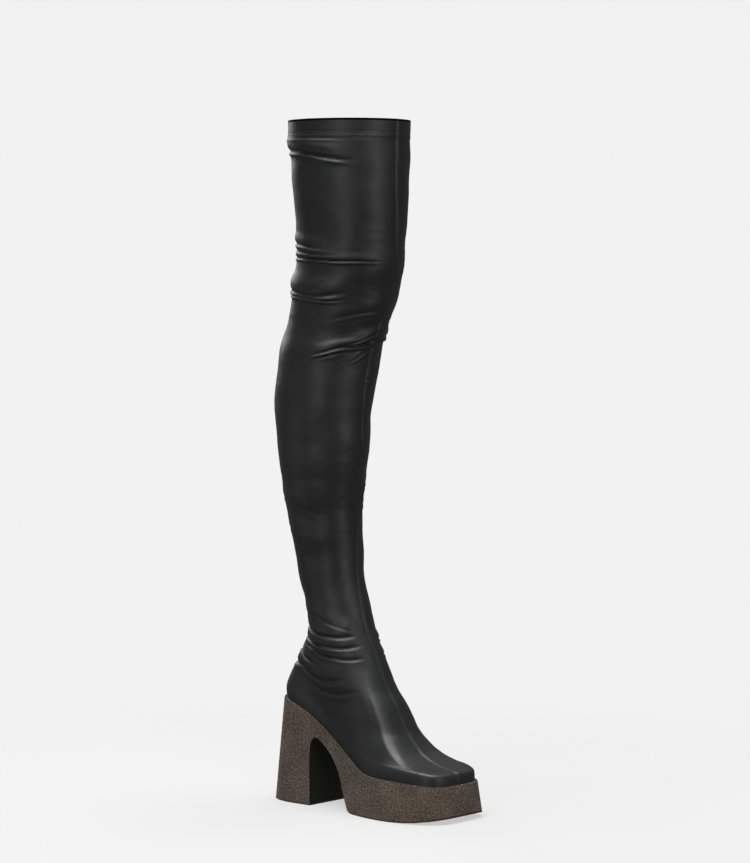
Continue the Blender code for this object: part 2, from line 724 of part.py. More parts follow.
def make_pull():
    point, across, out = pull_pivot()
    up = Vector((0, 0, 1))
    bar = PULL_THICKNESS / 2
    eye_half = PULL_HALF - PULL_ARM
    foot_half = PULL_HALF - PULL_TAPER
    corner = PULL_ARM
    outer = [
        (-PULL_HALF, bar), (PULL_HALF, bar),
        (PULL_HALF, -PULL_EYE), (foot_half, corner - PULL_LENGTH),
        (foot_half - corner, -PULL_LENGTH), (corner - foot_half, -PULL_LENGTH),
        (-foot_half, corner - PULL_LENGTH), (-PULL_HALF, -PULL_EYE),
    ]
    eye = [
        (-eye_half, -bar), (eye_half, -bar),
        (eye_half, -PULL_EYE_SIDE), (eye_half, -PULL_EYE_CORNER),
        (PULL_EYE_END_HALF, -PULL_EYE), (-PULL_EYE_END_HALF, -PULL_EYE),
        (-eye_half, -PULL_EYE_CORNER), (-eye_half, -PULL_EYE_SIDE),
    ]
    count = len(outer)
    points = []
    for depth in (-bar, bar):
        for outline in (outer, eye):
            points += [across * u + up * v + out * depth for u, v in outline]
    faces = []
    for k in range(count):
        n = (k + 1) % count
        near, near_eye, far, far_eye = 0, count, 2 * count, 3 * count
        faces.append((near + k, near + n, near_eye + n, near_eye + k))
        faces.append((far + n, far + k, far_eye + k, far_eye + n))
        faces.append((near + n, near + k, far + k, far + n))
        faces.append((near_eye + k, near_eye + n, far_eye + n, far_eye + k))
    mesh = mesh_from("zip_pull", points, faces)
    turn_faces_out(mesh)
    pull = new_object("zip_pull", mesh, (0.30, 0.30, 0.31), 0.3, 1.0)
    pull.matrix_world = Matrix.Translation(point)
    return pull


def main():
    for thing in list(bpy.data.objects):
        bpy.data.objects.remove(thing, do_unlink=True)
    make_sole()
    make_insole()
    make_upper()
    make_zip()
    make_slider()
    make_pull()


main()
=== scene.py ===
# Dresses a thigh-high boot, right foot: leather, creases, stitching, zip and crepe sole
# Lengths are metres, and the fold and stitch tables are millimetres

import math
from collections import namedtuple

import bmesh
import bpy
import numpy as np
from mathutils import Matrix, Vector, noise


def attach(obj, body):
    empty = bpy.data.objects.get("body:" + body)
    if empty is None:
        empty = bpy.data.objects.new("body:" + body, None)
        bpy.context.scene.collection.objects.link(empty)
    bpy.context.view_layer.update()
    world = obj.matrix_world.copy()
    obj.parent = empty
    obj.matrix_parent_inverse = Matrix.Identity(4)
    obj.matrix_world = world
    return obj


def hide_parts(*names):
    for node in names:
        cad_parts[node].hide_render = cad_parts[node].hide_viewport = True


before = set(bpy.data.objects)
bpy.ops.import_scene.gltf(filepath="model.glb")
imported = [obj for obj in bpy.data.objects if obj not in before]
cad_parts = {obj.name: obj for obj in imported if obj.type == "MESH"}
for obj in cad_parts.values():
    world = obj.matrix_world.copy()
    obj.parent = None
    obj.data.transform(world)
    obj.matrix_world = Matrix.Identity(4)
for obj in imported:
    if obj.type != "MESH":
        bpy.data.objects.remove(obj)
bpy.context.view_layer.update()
millimetre = 0.001


# Camera

cameraView = {
    "place": (2.2954, -2.5213, 0.5941), "turn": 41.177, "yaw": 0.067, "down": 2.976,
    "lens": 126.26, "sensor": 36, "clipEnd": 60,
}


def addCamera(view):
    turn, yaw, down = [math.radians(view[name]) for name in ("turn", "yaw", "down")]
    level = Vector((math.cos(turn), math.sin(turn), 0))
    away = Vector((-math.sin(turn), math.cos(turn), 0))
    upright = Vector((0, 0, 1))
    ahead = away * math.cos(yaw) + level * math.sin(yaw)
    right = level * math.cos(yaw) - away * math.sin(yaw)
    look = ahead * math.cos(down) - upright * math.sin(down)
    up = ahead * math.sin(down) + upright * math.cos(down)
    data = bpy.data.cameras.new("camera")
    data.lens = view["lens"]
    data.sensor_width = view["sensor"]
    data.clip_end = view["clipEnd"]
    camera = bpy.data.objects.new("camera", data)
    bpy.context.scene.collection.objects.link(camera)
    matrix = Matrix((right, up, -look)).transposed().to_4x4()
    matrix.translation = Vector(view["place"])
    camera.matrix_world = matrix
    bpy.context.scene.camera = camera


addCamera(cameraView)
print("camera ready")


# Node helpers

def newMaterial(name):
    material = bpy.data.materials.new(name)
    material.use_nodes = True
    tree = material.node_tree
    return material, tree, tree.nodes["Principled BSDF"]


def addNode(tree, kind, **values):
    node = tree.nodes.new(kind)
    for key, value in values.items():
        if hasattr(node, key):
            setattr(node, key, value)
        else:
            node.inputs[key.replace("_", " ")].default_value = value
    return node


def mathNode(tree, operation, first, second=None, third=None):
    node = tree.nodes.new("ShaderNodeMath")
    node.operation = operation
    for k, value in enumerate((first, second, third)):
        if value is None:
            continue
        if isinstance(value, (int, float)):
            node.inputs[k].default_value = value
        else:
            tree.links.new(value, node.inputs[k])
    return node.outputs[0]


def times(tree, first, second):
    return mathNode(tree, "MULTIPLY", first, second)


def plus(tree, first, second):
    return mathNode(tree, "ADD", first, second)


def setInputs(node, values):
    for name, value in values.items():
        node.inputs[name].default_value = value


def rampNode(tree, source, stops):
    node = tree.nodes.new("ShaderNodeValToRGB")
    tree.links.new(source, node.inputs[0])
    ramp = node.color_ramp
    while len(ramp.elements) < len(stops):
        ramp.elements.new(0.5)
    for element, (place, colour) in zip(ramp.elements, stops):
        element.position = place
        element.color = (*colour, 1)
    return node.outputs[0]


def objectPlace(tree, scale=(1, 1, 1)):
    coordinates = tree.nodes.new("ShaderNodeTexCoord")
    mapping = tree.nodes.new("ShaderNodeMapping")
    mapping.inputs["Scale"].default_value = scale
    tree.links.new(coordinates.outputs["Object"], mapping.inputs["Vector"])
    return mapping.outputs[0]


def noiseNode(tree, place, scale, detail=3.0, roughness=0.5):
    node = addNode(tree, "ShaderNodeTexNoise", Scale=scale, Detail=detail, Roughness=roughness)
    tree.links.new(place, node.inputs["Vector"])
    return node.outputs[0]


def bumpNode(tree, height, distance, strength=1.0, under=None):
    node = addNode(tree, "ShaderNodeBump", Strength=strength, Distance=distance)
    tree.links.new(height, node.inputs["Height"])
    if under is not None:
        tree.links.new(under, node.inputs["Normal"])
    return node.outputs[0]


# Base colour from dark to light as the source rises
def shadeColour(tree, shader, source, look, low, high):
    tone = rampNode(tree, source, [(low, look["dark"]), (high, look["light"])])
    tree.links.new(tone, shader.inputs["Base Color"])


# Roughness that drifts between smooth and rough
def driftRoughness(tree, shader, place, look):
    patch = noiseNode(tree, place, look["patch"], 3)
    rough = mathNode(tree, "MULTIPLY_ADD", patch, look["rough"] - look["smooth"], look["smooth"])
    tree.links.new(rough, shader.inputs["Roughness"])


# Materials

leatherLook = {
    "dark": (0.0046, 0.0048, 0.0050), "light": (0.0092, 0.0094, 0.0095), "specular": 0.50,
    "smooth": 0.38, "rough": 0.54, "cloud": 14, "patch": 38,
    "grain": 900, "grainDepth": 0.00010, "pore": 0.16, "fine": 420, "fineShare": 0.35,
    "pucker": 34, "puckerTall": 1.7, "puckerDepth": 0.0007,
}


def makeLeather(look):
    material, tree, shader = newMaterial("satinLeather")
    place = objectPlace(tree)
    shadeColour(tree, shader, noiseNode(tree, place, look["cloud"], 4), look, 0.32, 0.72)
    driftRoughness(tree, shader, place, look)
    shader.inputs["Specular IOR Level"].default_value = look["specular"]
    cells = addNode(tree, "ShaderNodeTexVoronoi", Scale=look["grain"])
    cells.feature = "DISTANCE_TO_EDGE"
    tree.links.new(place, cells.inputs["Vector"])
    pore = mathNode(tree, "MINIMUM", cells.outputs["Distance"], look["pore"])
    grain = plus(tree, pore, times(tree, noiseNode(tree, place, look["fine"], 2), look["fineShare"]))
    # Fine pulled wrinkles run around the leg
    drawn = noiseNode(tree, objectPlace(tree, (1, 1, look["puckerTall"])), look["pucker"], 3, 0.55)
    broad = bumpNode(tree, drawn, look["puckerDepth"], 0.5)
    tree.links.new(bumpNode(tree, grain, look["grainDepth"], 0.6, broad), shader.inputs["Normal"])
    return material


liningLook = {
    "dark": (0.020, 0.019, 0.018), "light": (0.036, 0.034, 0.032), "roughness": 0.85, "sheen": 0.25,
    "rib": 191.67, "fuzz": 700, "depth": 0.0002,
}


def makeLining(look):
    material, tree, shader = newMaterial("liningJersey")
    place = objectPlace(tree)
    wave = addNode(tree, "ShaderNodeTexWave", Scale=look["rib"], Distortion=0.6, Detail=1.0)
    wave.bands_direction = "Z"
    tree.links.new(place, wave.inputs["Vector"])
    fuzz = noiseNode(tree, place, look["fuzz"], 2)
    mixed = times(tree, plus(tree, wave.outputs["Fac"], fuzz), 0.5)
    shadeColour(tree, shader, mixed, look, 0.25, 0.8)
    tree.links.new(bumpNode(tree, mixed, look["depth"], 0.6), shader.inputs["Normal"])
    setInputs(shader, {"Roughness": look["roughness"], "Sheen Weight": look["sheen"]})
    return material


crepeLook = {
    "deep": (0.009, 0.007, 0.005), "middle": (0.051, 0.0385, 0.028), "pale": (0.180, 0.143, 0.108),
    "stops": (0.36, 0.46, 0.58), "inside": (0.010, 0.010, 0.008), "edge": (0.040, 0.013, 0.009),
    "roughness": 0.88, "specular": 0.25, "depth": 0.0012, "reliefShare": 0.42,
    "fleckLong": 250, "fleckAcross": 860, "fleckShares": (0.95, 0.85), "wobble": 260, "wobbleSize": 0.0016,
    "sideShare": 0.8, "crumb": 820, "crumbShare": 0.20, "cloud": 30, "cloudShare": 0.10,
    "archBack": 0.0262, "archFront": 0.1045, "mostSideways": 0.06, "mostUpward": 0.2, "treadTop": 0.0004,
    "edgeHeight": 0.0013, "springStart": 0.159, "springLength": 0.060, "spring": 0.0062,
}


# Crumbs and short flecks that lie on two slants
def crepeRelief(tree, look, place, axes):
    x, y, z = axes
    size = look["wobbleSize"]
    wobble = mathNode(tree, "MULTIPLY_ADD", noiseNode(tree, place, look["wobble"], 2), size, -size / 2)
    around = plus(tree, plus(tree, x, times(tree, y, look["sideShare"])), wobble)
    relief = times(tree, noiseNode(tree, place, look["crumb"], 3, 0.7), look["crumbShare"])
    for slant, share in zip((1, -1), look["fleckShares"]):
        rise = times(tree, z, slant)
        spot = tree.nodes.new("ShaderNodeCombineXYZ")
        tree.links.new(times(tree, plus(tree, around, rise), look["fleckLong"]), spot.inputs[0])
        across = mathNode(tree, "SUBTRACT", around, rise)
        tree.links.new(times(tree, across, look["fleckAcross"]), spot.inputs[1])
        spot.inputs[2].default_value = slant
        relief = plus(tree, relief, times(tree, noiseNode(tree, spot.outputs[0], 1.0, 2, 0.55), share))
    return relief


# 1 on the faces of the arch between heel and platform, which face forward, back or down
def insideArch(tree, look, axes):
    x, _, z = axes
    geometry = tree.nodes.new("ShaderNodeNewGeometry")
    facing = tree.nodes.new("ShaderNodeSeparateXYZ")
    tree.links.new(geometry.outputs["True Normal"], facing.inputs[0])
    sideways = mathNode(tree, "ABSOLUTE", facing.outputs[1])
    inside = mathNode(tree, "LESS_THAN", sideways, look["mostSideways"])
    tests = (("GREATER_THAN", x, "archBack"), ("LESS_THAN", x, "archFront"),
             ("LESS_THAN", facing.outputs[2], "mostUpward"), ("GREATER_THAN", z, "treadTop"))
    for operation, value, limit in tests:
        inside = times(tree, inside, mathNode(tree, operation, value, look[limit]))
    return inside


# 1 on the thin layer at the bottom edge, which follows the spring of the toe
def bottomEdge(tree, look, axes):
    x, _, z = axes
    past = mathNode(tree, "SUBTRACT", x, look["springStart"])
    climb = mathNode(tree, "MAXIMUM", mathNode(tree, "DIVIDE", past, look["springLength"]), 0.0)
    lift = times(tree, times(tree, climb, climb), look["spring"])
    return mathNode(tree, "LESS_THAN", mathNode(tree, "SUBTRACT", z, lift), look["edgeHeight"])


def mixedColour(tree, share, first, second):
    node = addNode(tree, "ShaderNodeMix", data_type="RGBA")
    tree.links.new(share, node.inputs["Factor"])
    tree.links.new(first, node.inputs["A"])
    node.inputs["B"].default_value = (*second, 1)
    return node.outputs["Result"]


def makeCrepe(look):
    material, tree, shader = newMaterial("crepeRubber")
    coordinates = tree.nodes.new("ShaderNodeTexCoord")
    split = tree.nodes.new("ShaderNodeSeparateXYZ")
    tree.links.new(coordinates.outputs["Object"], split.inputs[0])
    axes = list(split.outputs)
    place = objectPlace(tree)
    relief = crepeRelief(tree, look, place, axes)
    cloud = times(tree, noiseNode(tree, place, look["cloud"], 3), look["cloudShare"])
    shade = plus(tree, times(tree, relief, look["reliefShare"]), cloud)
    colours = (look["deep"], look["middle"], look["pale"])
    tone = rampNode(tree, shade, list(zip(look["stops"], colours)))
    # The arch's inner faces, the heel breast and the underside between heel and platform, take the
    # near-black inside colour
    painted = mixedColour(tree, insideArch(tree, look, axes), tone, look["inside"])
    edged = mixedColour(tree, bottomEdge(tree, look, axes), painted, look["edge"])
    tree.links.new(edged, shader.inputs["Base Color"])
    tree.links.new(bumpNode(tree, relief, look["depth"], 0.75), shader.inputs["Normal"])
    setInputs(shader, {"Roughness": look["roughness"], "Specular IOR Level": look["specular"]})
    return material


insoleLook = {
    "name": "insoleLeather", "dark": (0.022, 0.020, 0.018), "light": (0.040, 0.036, 0.032),
    "lightStop": 0.75, "roughness": 0.6, "specular": 0.5, "cloud": (45, 4),
    "grain": (900, 3), "depth": 0.0002,
}
# Near-black matte painted shade along the collar's top edge
collarShadeLook = {
    "name": "collarEdgeShade", "dark": (0.0015, 0.0015, 0.0016), "light": (0.0035, 0.0035, 0.0036),
    "lightStop": 0.7, "roughness": 0.7, "specular": 0.02, "cloud": (500, 3),
    "grain": (900, 2), "depth": 0.0001,
}


# Soft clouds between two colours, with a fine grain
def makeClouded(look):
    material, tree, shader = newMaterial(look["name"])
    place = objectPlace(tree)
    shadeColour(tree, shader, noiseNode(tree, place, *look["cloud"]), look, 0.3, look["lightStop"])
    grain = noiseNode(tree, place, *look["grain"])
    tree.links.new(bumpNode(tree, grain, look["depth"], 0.5), shader.inputs["Normal"])
    setInputs(shader, {"Roughness": look["roughness"], "Specular IOR Level": look["specular"]})
    return material


nickelLook = {"colour": (0.30, 0.30, 0.31), "smooth": 0.18, "rough": 0.34, "patch": 600, "scratch": 1500}


def makeNickel(look):
    material, tree, shader = newMaterial("darkNickel")
    place = objectPlace(tree)
    setInputs(shader, {"Base Color": (*look["colour"], 1), "Metallic": 1.0})
    driftRoughness(tree, shader, place, look)
    scratch = noiseNode(tree, place, look["scratch"], 2)
    tree.links.new(bumpNode(tree, scratch, 0.00003, 0.4), shader.inputs["Normal"])
    return material


threadLook = {"name": "blackThread", "colour": (0.024, 0.024, 0.024), "roughness": 0.55, "twist": 433.33}


def makeThread(look):
    material, tree, shader = newMaterial(look["name"])
    wave = addNode(tree, "ShaderNodeTexWave", Scale=look["twist"], Distortion=1.0)
    tree.links.new(objectPlace(tree), wave.inputs["Vector"])
    setInputs(shader, {"Base Color": (*look["colour"], 1), "Roughness": look["roughness"]})
    tree.links.new(bumpNode(tree, wave.outputs["Fac"], 0.00008, 0.5), shader.inputs["Normal"])
    return material


zigzagLook = {"name": "greyThread", "colour": (0.090, 0.090, 0.086), "roughness": 0.6, "twist": 433.33}
tapeLook = {"dark": (0.0065, 0.0065, 0.007), "light": (0.018, 0.018, 0.019), "weave": 1900, "fuzz": 1100}


def makeTape(look):
    material, tree, shader = newMaterial("wovenTape")
    place = objectPlace(tree)
    weave = addNode(tree, "ShaderNodeTexChecker", Scale=look["weave"])
    tree.links.new(place, weave.inputs["Vector"])
    fuzz = noiseNode(tree, place, look["fuzz"], 2)
    height = mathNode(tree, "MULTIPLY_ADD", weave.outputs["Fac"], 0.6, fuzz)
    shadeColour(tree, shader, height, look, 0.4, 1.0)
    tree.links.new(bumpNode(tree, height, 0.0001, 0.5), shader.inputs["Normal"])
    shader.inputs["Roughness"].default_value = 0.75
    return material


leather = makeLeather(leatherLook)
collarEdgeShade = makeClouded(collarShadeLook)
lining = makeLining(liningLook)
crepe = makeCrepe(crepeLook)
insoleLeather = makeClouded(insoleLook)
nickel = makeNickel(nickelLook)
thread = makeThread(threadLook)
zigzagThread = makeThread(zigzagLook)
tape = makeTape(tapeLook)
print("materials ready")


# Form of the upper, the same sizes as its solid

bootSizes = {
    "height": 0.7635, "wall": 0.0018, "gap": 0.0003, "rimLength": 0.250, "heelBack": 0.031,
    "heelHeight": 0.1178, "platform": 0.0440, "ballLateral": 0.0520, "ballMedial": 0.0450,
    "rimWidth": 0.0024, "bedDepth": 0.0085, "ankleHeight": 0.205, "ankleX": 0.0454, "calfSway": 0.0270,
    "sideSway": 0.0140, "shaftDepth": 0.0683, "shaftWidth": 0.0662, "zipPlace": 0.42, "zipTop": 0.338,
    "zipBottomRing": 8, "heelCap": 0.20, "toeCap": 0.78, "heelCapShare": 0.15, "toeCapShare": 0.90,
    "heelPower": 2.2, "toePower": 4.0,
}

planRow = namedtuple("planRow", "share lateral medial drop")
planTable = [planRow(*row) for row in (
    (0.00, 0.587, 0.678, 1.000),
    (0.08, 0.592, 0.684, 0.955),
    (0.16, 0.597, 0.689, 0.872),
    (0.24, 0.600, 0.682, 0.745),
    (0.32, 0.612, 0.668, 0.583),
    (0.40, 0.665, 0.670, 0.400),
    (0.48, 0.748, 0.715, 0.232),
    (0.55, 0.845, 0.790, 0.090),
    (0.62, 0.935, 0.880, 0.020),
    (0.72, 1.000, 0.975, 0.000),
    (0.82, 0.978, 1.000, -0.014),
    (0.90, 0.895, 0.978, -0.032),
    (0.95, 0.800, 0.930, -0.050),
    (1.00, 0.690, 0.845, -0.064),
)]

footRow = namedtuple("footRow", "back backRise front frontRise plan lateral medial roundness")
footTable = [footRow(*row) for row in (
    (0.0068, 0.065, 0.9885, 0.024, 0.997, 0.692, 0.773, 0.00),
    (0.0056, 0.117, 0.9800, 0.048, 0.990, 0.692, 0.790, 0.02),
    (0.0088, 0.169, 0.9500, 0.062, 0.978, 0.692, 0.840, 0.06),
    (0.0160, 0.220, 0.8940, 0.078, 0.962, 0.692, 0.870, 0.12),
    (0.0268, 0.278, 0.8380, 0.108, 0.944, 0.692, 0.885, 0.19),
    (0.0408, 0.341, 0.7890, 0.150, 0.930, 0.692, 0.890, 0.27),
    (0.0560, 0.404, 0.7450, 0.203, 0.920, 0.692, 0.885, 0.36),
    (0.0728, 0.473, 0.7080, 0.270, 0.912, 0.692, 0.865, 0.47),
    (0.0880, 0.541, 0.6760, 0.352, 0.902, 0.692, 0.840, 0.58),
    (0.1032, 0.610, 0.6380, 0.445, 0.892, 0.690, 0.812, 0.70),
    (0.1160, 0.679, 0.5930, 0.550, 0.884, 0.687, 0.795, 0.81),
    (0.1288, 0.753, 0.5460, 0.680, 0.880, 0.684, 0.784, 0.90),
    (0.1408, 0.828, 0.5070, 0.814, 0.880, 0.680, 0.778, 0.96),
    (0.1520, 0.920, 0.4730, 0.935, 0.880, 0.676, 0.774, 1.00),
)]

shaftRow = namedtuple("shaftRow", "height sway side depth width turn")
shaftTable = [shaftRow(*row) for row in (
    (0.010, -0.01, 0.00, 0.536, 0.530, -2.0),
    (0.043, -0.21, -0.07, 0.530, 0.524, 1.0),
    (0.073, -0.39, -0.14, 0.538, 0.532, 4.0),
    (0.121, -0.50, -0.29, 0.566, 0.558, 8.0),
    (0.166, -0.57, -0.43, 0.583, 0.578, 11.0),
    (0.214, -0.65, -0.57, 0.625, 0.618, 13.0),
    (0.262, -0.65, -0.71, 0.673, 0.664, 13.0),
    (0.310, -0.59, -0.86, 0.722, 0.712, 11.0),
    (0.365, -0.56, -0.96, 0.774, 0.764, 8.0),
    (0.419, -0.54, -1.00, 0.810, 0.800, 6.0),
    (0.476, -0.44, -0.93, 0.838, 0.828, 4.0),
    (0.540, -0.28, -0.68, 0.850, 0.840, 3.0),
    (0.576, -0.14, -0.54, 0.842, 0.832, 4.0),
    (0.610, 0.11, -0.43, 0.848, 0.838, 8.0),
    (0.647, 0.34, -0.36, 0.874, 0.864, 12.0),
    (0.683, 0.50, -0.36, 0.890, 0.880, 13.0),
    (0.713, 0.66, -0.36, 0.888, 0.878, 11.0),
    (0.758, 0.75, -0.43, 0.894, 0.884, 8.0),
    (0.802, 0.80, -0.50, 0.914, 0.904, 6.0),
    (0.854, 0.78, -0.57, 0.950, 0.942, 4.0),
    (0.896, 0.78, -0.62, 0.968, 0.962, 3.0),
    (0.930, 0.78, -0.66, 0.980, 0.976, 3.0),
    (0.965, 0.77, -0.70, 0.992, 0.990, 3.0),
    (1.000, 0.77, -0.71, 1.000, 1.000, 3.0),
)]

ringFields = "backX backZ frontX frontZ middleY plan lateral medial roundness turn".split()


def mix(first, second, share):
    return first + (second - first) * share


# Directions, each made one long
def unit(field):
    return field / np.maximum(np.linalg.norm(field, axis=-1, keepdims=True), 1e-12)


def softStep(value, low, high):
    share = np.clip((value - low) / (high - low), 0, 1)
    return share * share * (3 - 2 * share)


# Cubic through the values at any places, for arrays
def smoothCurve(places, values, at):
    places = np.asarray(places, float)
    values = np.asarray(values, float)
    at = np.clip(at, places[0], places[-1])
    k = np.clip(np.searchsorted(places, at, side="right") - 1, 0, len(places) - 2)
    below = np.maximum(np.arange(len(places)) - 1, 0)
    above = np.minimum(np.arange(len(places)) + 1, len(places) - 1)
    slopes = (values[above] - values[below]) / (places[above] - places[below])
    width = places[k + 1] - places[k]
    t = (at - places[k]) / width
    start = (1 + 2 * t) * (1 - t) ** 2 * values[k] + t * (1 - t) ** 2 * width * slopes[k]
    return start + t * t * (3 - 2 * t) * values[k + 1] + t * t * (t - 1) * width * slopes[k + 1]


def planCurve(column, share):
    return smoothCurve([row.share for row in planTable], [getattr(row, column) for row in planTable], share)


def rimHeight(share):
    return mix(bootSizes["platform"], bootSizes["heelHeight"], planCurve("drop", share))


def rimHalf(share, side):
    outer = planCurve("lateral", share) * bootSizes["ballLateral"]
    inner = planCurve("medial", share) * bootSizes["ballMedial"]
    return np.where(side < 0, outer, inner)


def lengthShare(x):
    return (x + bootSizes["heelBack"]) / bootSizes["rimLength"]


def planPlace(q):
    heelCap, toeCap = bootSizes["heelCap"], bootSizes["toeCap"]
    heelShare, toeShare = bootSizes["heelCapShare"], bootSizes["toeCapShare"]
    heelTurn = np.clip(q / heelCap, 0, 1) * math.pi / 2
    toeTurn = np.clip((q - toeCap) / (1 - toeCap), 0, 1) * math.pi / 2
    heel = heelShare * (1 - np.abs(np.cos(heelTurn)) ** (2 / bootSizes["heelPower"]))
    middle = mix(heelShare, toeShare, (q - heelCap) / (toeCap - heelCap))
    toe = mix(toeShare, 1.0, np.sin(toeTurn) ** (2 / bootSizes["toePower"]))
    share = np.where(q < heelCap, heel, np.where(q <= toeCap, middle, toe))
    heelWidth = np.sin(heelTurn) ** (2 / bootSizes["heelPower"])
    toeWidth = np.maximum(np.cos(toeTurn), 0) ** (2 / bootSizes["toePower"])
    return share, np.where(q < heelCap, heelWidth, np.where(q <= toeCap, 1.0, toeWidth))


def makeRings():
    s = bootSizes
    inset = s["rimWidth"] + s["gap"]
    toeX = -s["heelBack"] + s["rimLength"] - inset
    rows = []
    for sink in (s["bedDepth"] - s["gap"], 0.0):
        rows.append((-s["heelBack"] + inset, s["heelHeight"] - sink, toeX, float(rimHeight(1.0)) - sink,
                     0, 1, 0, 0, 0, 0))
    for row in footTable:
        rows.append((
            -s["heelBack"] + s["rimLength"] * row.back, mix(s["heelHeight"], s["ankleHeight"], row.backRise),
            -s["heelBack"] + s["rimLength"] * row.front, mix(s["platform"], s["ankleHeight"], row.frontRise),
            0, row.plan, s["ballLateral"] * row.lateral, s["ballMedial"] * row.medial, row.roundness, 0))
    for row in shaftTable:
        z = mix(s["ankleHeight"], s["height"], row.height)
        middle = s["ankleX"] + s["calfSway"] * row.sway
        depth = s["shaftDepth"] * row.depth
        width = s["shaftWidth"] * row.width
        side = s["sideSway"] * row.side
        rows.append((middle - depth, z, middle + depth, z, side, 1, width, width, 1, row.turn))
    return np.array(rows)


ringTable = makeRings()


# The ring's fields at any place between rings, each as a column
def ringAt(v):
    places = np.arange(len(ringTable))
    return {name: smoothCurve(places, ringTable[:, k], v)[:, None] for k, name in enumerate(ringFields)}


# Points of the plain upper, for rings v and stations q on one side
def surfacePoint(v, q, side):
    ring = ringAt(np.atleast_1d(v))
    share, cap = planPlace(q)
    angle = side * math.pi * q - np.radians(ring["turn"]) * q * q
    along = (1 - np.cos(angle)) / 2
    roundHalf = np.where(np.sin(angle) > 0, ring["medial"], ring["lateral"])
    planX = mix(ring["backX"], ring["frontX"], share)
    planHalf = (rimHalf(lengthShare(planX), side) - bootSizes["rimWidth"] - bootSizes["gap"]) * ring["plan"]
    backLift = ring["backZ"] - rimHeight(lengthShare(ring["backX"]))
    frontLift = ring["frontZ"] - rimHeight(lengthShare(ring["frontX"]))
    planZ = rimHeight(lengthShare(planX)) + mix(backLift, frontLift, share)
    x = mix(planX, mix(ring["backX"], ring["frontX"], along), ring["roundness"])
    y = ring["middleY"] + mix(side * planHalf * cap, roundHalf * np.sin(angle), ring["roundness"])
    z = mix(planZ, mix(ring["backZ"], ring["frontZ"], along), ring["roundness"])
    return np.stack(np.broadcast_arrays(x, y, z), axis=-1)


meshFineness = {
    "plainStep": 4.6, "frontStep": 3.8, "ankleFrontStep": 1.9, "ankle": (0.075, 0.206),
    "outerColumns": 84, "innerFront": 36, "innerBack": 30, "innerStep": 8,
}
seamProfile = {
    "columns": (0.3, 0.75, 1.3, 1.9, 2.7, 4.2), "half": 1.3, "slope": 1.4, "rise": 0.50,
    "thighShare": 1.6, "thighFade": (0.16, 0.45), "groove": 0.34, "grooveWidth": 0.35, "start": (1.0, 1.6),
}
zipOpening = {"columns": (3.3, 3.5, 4.1, 5.5), "floor": 1.62, "depthStart": 3.3, "depthEnd": 3.5}


# Heights of the creased parts, from, to, and the step between rings there, all in millimetres
creasedParts = [(116, 207, 1.1), (322, 398, 2.2), (494, 644, 1.1), (708, 764, 1.3)]


# Places of the rings, close enough for the smallest crease
def ringPlaces():
    places = []
    for k in range(len(ringTable) - 1):
        low, high = ringTable[k], ringTable[k + 1]
        back = math.hypot(high[0] - low[0], high[1] - low[1]) / millimetre
        front = math.hypot(high[2] - low[2], high[3] - low[3]) / millimetre
        steps = [meshFineness["plainStep"]]
        steps += [step for bottom, top, step in creasedParts
                  if high[1] / millimetre > bottom and low[1] / millimetre < top]
        atAnkle = meshFineness["ankle"][0] < high[3] < meshFineness["ankle"][1]
        frontStep = meshFineness["ankleFrontStep" if atAnkle else "frontStep"]
        count = max(1, math.ceil(back / min(steps)), math.ceil(front / frontStep))
        places += [k + i / count for i in range(count)]
    return np.array(places + [len(ringTable) - 1.0])


# Station at a distance from the front seam, on each ring
def stationAtDistance(v, side, distance):
    front = surfacePoint(v, np.full((len(v), 1), 1.0), side)
    low = np.full((len(v), 1), 0.85)
    high = np.full((len(v), 1), 1.0)
    for _ in range(26):
        middle = (low + high) / 2
        far = np.linalg.norm(surfacePoint(v, middle, side) - front, axis=-1) > distance * millimetre
        low = np.where(far, middle, low)
        high = np.where(far, high, middle)
    return (low + high) / 2


# Points on the zip's line, or a share of the way round from it
def zipPoints(v, shift=0.0):
    return surfacePoint(v, np.full((len(v), 1), bootSizes["zipPlace"]) + shift, 1)


# Share of the way round that a millimetre takes at the zip
def zipStep(v):
    probe = 0.01
    span = zipPoints(v, probe) - zipPoints(v, -probe)
    return 2 * probe * millimetre / np.linalg.norm(span, axis=-1)


# Stations between two columns of stations, without the last
def spread(low, high, count):
    return [mix(low, high, k / count) for k in range(count)]


# The plain upper as a grid, with the distance of each point from the seam and from the zip
def upperGrid():
    v = ringPlaces()
    far = 99.0
    columns, seamDistance, zipDistance = [], [], []

    def add(side, stations, fromSeam=far, fromZip=far):
        for q in stations:
            columns.append(surfacePoint(v, q, side)[:, 0])
            seamDistance.append(np.full(len(v), fromSeam))
            zipDistance.append(np.full(len(v), fromZip))

    zero = np.zeros((len(v), 1))
    lastSeam = seamProfile["columns"][-1]
    add(-1, spread(zero, stationAtDistance(v, -1, lastSeam), meshFineness["outerColumns"]))
    for distance in reversed(seamProfile["columns"]):
        add(-1, [stationAtDistance(v, -1, distance)], fromSeam=distance)
    add(1, [zero + 1.0], fromSeam=0.0)
    for distance in seamProfile["columns"]:
        add(1, [stationAtDistance(v, 1, distance)], fromSeam=distance)
    millimetreShare = zipStep(v)
    middle = zero + bootSizes["zipPlace"]
    edge = zipOpening["columns"][-1] * millimetreShare
    add(1, spread(stationAtDistance(v, 1, lastSeam), middle + edge, meshFineness["innerFront"])[1:])
    for distance in (*reversed(zipOpening["columns"]), 0.0):
        add(1, [middle + distance * millimetreShare], fromZip=distance)
    for distance in zipOpening["columns"]:
        add(1, [middle - distance * millimetreShare], fromZip=distance)
    add(1, spread(middle - edge, zero, meshFineness["innerBack"])[1:])
    return v, np.stack(columns, 1), np.stack(seamDistance, 1), np.stack(zipDistance, 1)


